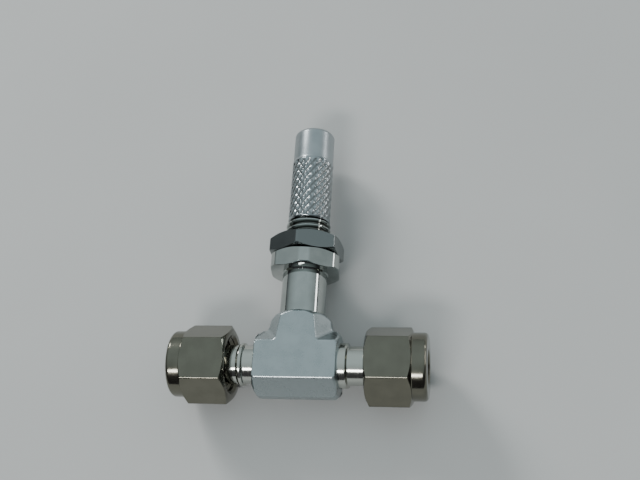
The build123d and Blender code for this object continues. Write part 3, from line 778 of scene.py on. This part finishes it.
def make_spindle():
    socket = profile((0, BALL_SOCKET_END), (BALL_SOCKET_R, BALL_SOCKET_END),
                     (BALL_SOCKET_R, SWIVEL_GROOVE_END), (SWIVEL_GROOVE_R, SWIVEL_GROOVE_END),
                     (SWIVEL_GROOVE_R, SWIVEL_GROOVE_START), (BALL_SOCKET_R, SWIVEL_GROOVE_START),
                     (BALL_SOCKET_R, SPINDLE_START), (SHANK_R, SPINDLE_START),
                     (SHANK_R, SPINDLE_THREAD_START))
    screw = thread(SPINDLE_THREAD_START, SPINDLE_THREAD_END, SPINDLE_PITCH, SHANK_R, SPINDLE_CREST_R,
                   fade=SPINDLE_THREAD_FADE)
    shank = profile((SHANK_R, SPINDLE_THREAD_END), (SHANK_R, SPINDLE_END - SPINDLE_END_CHAMFER),
                    (SHANK_R - SPINDLE_END_CHAMFER, SPINDLE_END), (0, SPINDLE_END))
    spindle = turned("threaded_spindle", STEM_FRAME, socket + screw + shank, even_angles(64),
                     closed=False)
    soften(spindle, 0, limit=GROOVED_ANGLE)
    finish_piece(spindle, "spindle", "turned_steel")


# ---- valve body -----------------------------------------------------------------------------------


SLACK = 0.01                          # CAD faces are found to within that distance
CONE_SLACK = 0.02
RELIEF_LENGTH = 1                     # up to there a face near the axis is the relief, then the cone
ACROSS_AXIS = 0.9                     # a face whose normal leans that far along the tube is an end face


def on_outer_thread(face):
    """True for the plain CAD surface that stands for the thread of a stub, and its end face."""
    for vertex in face.verts:
        out = vertex.co - CROSSING
        if abs(out.x) < (MALE_START - SLACK) * MM:
            return False
        if math.hypot(out.y, out.z) < (STUB_R - SLACK) * MM:
            return False
    centre = face.calc_center_median() - CROSSING
    in_cone = (math.hypot(centre.y, centre.z) < (FERRULE_CONE_R + CONE_SLACK) * MM
               and abs(centre.x) > (MALE_START + RELIEF_LENGTH) * MM
               and abs(face.normal.x) < ACROSS_AXIS)
    return not in_cone


def on_forging(edge):
    """True for outward edges outside the bores, between the two stubs."""
    if not edge.is_convex:
        return False
    out = (edge.verts[0].co + edge.verts[1].co) / 2 - CROSSING
    in_end_bore = math.hypot(out.y, out.z) < END_BORE_R * MM
    in_bonnet_bore = out.y > BONNET_BORE_START * MM and math.hypot(out.x, out.z) < BONNET_BORE_R * MM
    return abs(out.x) < FORGING_END * MM and not in_end_bore and not in_bonnet_bore


def on_neck_ring(edge):
    """True for the edges of the raised rings on the necks between the body and the threads."""
    out = (edge.verts[0].co + edge.verts[1].co) / 2 - CROSSING
    beside_body = NECK_RING_START * MM < abs(out.x) < NECK_RING_END * MM
    return beside_body and math.hypot(out.y, out.z) > NECK_RING_ROOT_R * MM


def stub_chamfer(distance):
    """Radius that a stub's thread keeps within, near the stub's end."""
    return MALE_R - MALE_END_CHAMFER + max(0, MALE_END - distance)


def make_valve_body():
    """The CAD body with its edges softened and real threads on both stubs."""
    mesh = bmesh.new()
    mesh.from_mesh(NODES["valve_body"].data)
    bmesh.ops.remove_doubles(mesh, verts=mesh.verts, dist=CAD_MERGE)
    plain = [face for face in mesh.faces if on_outer_thread(face)]
    bmesh.ops.delete(mesh, geom=plain, context="FACES")
    bmesh.ops.dissolve_limit(mesh, angle_limit=math.radians(FLAT_ANGLE), verts=mesh.verts,
                             edges=mesh.edges)
    round_edges(mesh, FORGED_EDGE, on_forging)
    round_edges(mesh, NECK_RING_EDGE, on_neck_ring)
    for place in (INLET_FRAME, OUTLET_FRAME):
        rings = profile((STUB_R, MALE_START), (STUB_R, THREAD_START))
        rings += thread(THREAD_START, MALE_END, THREAD_PITCH, MALE_R - THREAD_DEPTH, MALE_R,
                        fade=MALE_FADE, limit=stub_chamfer)
        rings += profile((FERRULE_CONE_R, MALE_END))
        skin(mesh, place, rings, even_angles(120), False)
    clean(mesh)
    body = mesh_object("body_with_threads", mesh)
    soften(body, SOFT_EDGE, limit=ROUNDED_ANGLE)
    finish_piece(body, "valve_body", "satin_steel")


make_tube_nut("inlet_nut", INLET_FRAME)
make_tube_nut("outlet_nut", OUTLET_FRAME)
make_bonnet()
make_panel_nut()
make_handle()
make_spindle()
make_valve_body()

# ---- floor, light and camera ----------------------------------------------------------------------


FLOOR_SIZE = 6                        # metres


def make_floor():
    bpy.ops.mesh.primitive_plane_add(size=FLOOR_SIZE, location=(CROSSING.x, CROSSING.y, FLOOR_Z))
    floor = bpy.context.object
    floor.name = "floor"
    r = Recipe("floor_card", (0.51, 0.51, 0.50), 0.0, 0.7)
    shade = r.remap(r.noise(0.02, 4), 0.3, 0.7)
    floor.data.materials.append(r.finish(color=r.mix(shade, (0.50, 0.50, 0.49), (0.52, 0.52, 0.51))))


VIEW_FORWARD = Vector((-0.18471, 0.38891, -0.90257))
VIEW_UP = Vector((0.01280, 0.91925, 0.39347))
VIEW_FROM = Vector((38.344, -47.449, 174.348)) * MM      # from the crossing of the axes
LENS = 50.625
SENSOR_WIDTH = 36


def make_camera():
    camera = bpy.data.objects.new("camera", bpy.data.cameras.new("camera"))
    bpy.context.scene.collection.objects.link(camera)
    back = -VIEW_FORWARD.normalized()
    right = VIEW_UP.cross(back).normalized()
    turn = Matrix((right, back.cross(right), back)).transposed().to_4x4()
    camera.matrix_world = Matrix.Translation(CROSSING + VIEW_FROM) @ turn
    camera.data.lens = LENS
    camera.data.sensor_width = SENSOR_WIDTH
    camera.data.clip_start = 0.01
    camera.data.clip_end = 20
    bpy.context.scene.camera = camera


def add_light(name, direction, distance, width, height, power):
    """Soft white panel of that size, in metres and watts, that faces the valve."""
    light = bpy.data.lights.new(name, "AREA")
    light.shape = "RECTANGLE"
    light.size = width
    light.size_y = height
    light.energy = power
    panel = bpy.data.objects.new(name, light)
    bpy.context.scene.collection.objects.link(panel)
    away = Vector(direction).normalized()
    panel.location = CROSSING + away * distance
    panel.rotation_euler = away.to_track_quat("Z", "Y").to_euler()
    return panel


SKY_DIRECTION = (0, 0.45, 0.893)      # the studio is brightest there, and dark behind the camera
DARK_STOP, DARK = 0.12, (0.06, 0.06, 0.065, 1)
MIDDLE_STOP, MIDDLE = 0.50, (0.42, 0.48, 0.49, 1)
BRIGHT_STOP, BRIGHT = 0.90, (0.62, 0.73, 0.76, 1)


def make_sky():
    """Soft gradient from dark to pale, by the angle to the sky direction."""
    world = bpy.data.worlds.new("studio")
    world.use_nodes = True
    tree = world.node_tree
    place = tree.nodes.new("ShaderNodeTexCoord")
    toward_sky = tree.nodes.new("ShaderNodeVectorMath")
    toward_sky.operation = "DOT_PRODUCT"
    toward_sky.inputs[1].default_value = SKY_DIRECTION
    ramp = tree.nodes.new("ShaderNodeValToRGB")
    tree.links.new(place.outputs["Generated"], toward_sky.inputs[0])
    tree.links.new(toward_sky.outputs["Value"], ramp.inputs[0])
    tree.links.new(ramp.outputs[0], tree.nodes["Background"].inputs["Color"])
    stops = ramp.color_ramp.elements
    stops[0].position = DARK_STOP
    stops[0].color = DARK
    stops[1].position = BRIGHT_STOP
    stops[1].color = BRIGHT
    stops.new(MIDDLE_STOP).color = MIDDLE
    bpy.context.scene.world = world


def make_lights():
    add_light("right_strip", (0.94, 0.28, 0.20), 0.7, 0.34, 0.08, 0.65)
    add_light("near_strip", (-0.208, -0.65, 0.73), 0.8, 0.32, 0.12, 2.6)
    key = add_light("key_panel", (-0.60, 0.70, 0.39), 1.0, 0.3, 0.3, 4.5)
    key.visible_glossy = False        # it lights the floor without a glare in the steel
    add_light("back_panel", (-0.54, 0.70, 0.47), 1.0, 0.18, 0.18, 2.6)
    add_light("side_panel", (0.74, 0.66, 0.13), 0.7, 0.10, 0.06, 0.22)


make_floor()
make_camera()
make_sky()
make_lights()
